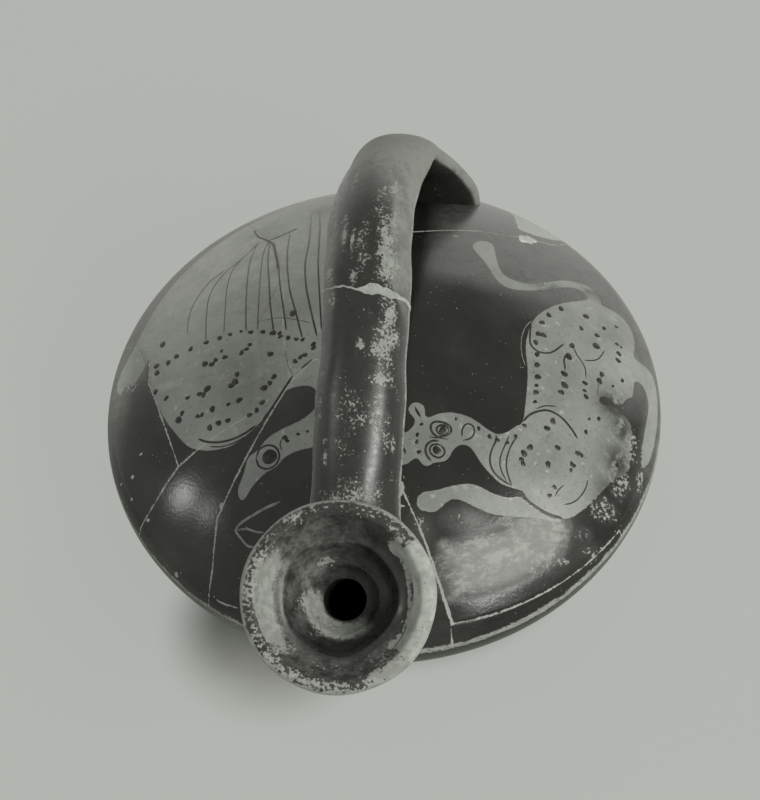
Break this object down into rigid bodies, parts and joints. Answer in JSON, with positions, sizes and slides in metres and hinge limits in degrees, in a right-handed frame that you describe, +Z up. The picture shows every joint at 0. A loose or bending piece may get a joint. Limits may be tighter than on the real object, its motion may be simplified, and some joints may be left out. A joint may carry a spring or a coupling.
{
  "type": "askos vessel",
  "caption": "Low domed pouring vessel with a steep funnel spout and an arched strap handle, mended from sherds, painted with animal figures on a black gloss ground.",
  "frame": {"origin": "centre of the flat base, on the surface the vessel stands on", "axes": "+Z up along the axis of the body, -Y towards the spout, +Y towards the foot of the handle"},
  "size_m": [0.092, 0.1086, 0.0625],
  "materials": {
    "black_gloss": "worn black gloss",
    "painted_ware": "black gloss with reserved clay figures",
    "mend_plaster": "matte pale fill"
  },
  "bodies": {
    "root": {"lower_dish": "black_gloss", "spout": "black_gloss", "handle_front": "black_gloss", "handle_rear": "black_gloss", "rim_fill": "mend_plaster", "handle_fill": "mend_plaster", "rear_patch": "mend_plaster", "left_flank_sherd": "painted_ware", "left_front_sherd": "painted_ware", "left_wing_sherd": "painted_ware", "front_sherd": "painted_ware", "right_main_sherd": "painted_ware", "right_edge_sherd": "painted_ware", "rear_sherd": "painted_ware"}
  },
  "joints": []
}
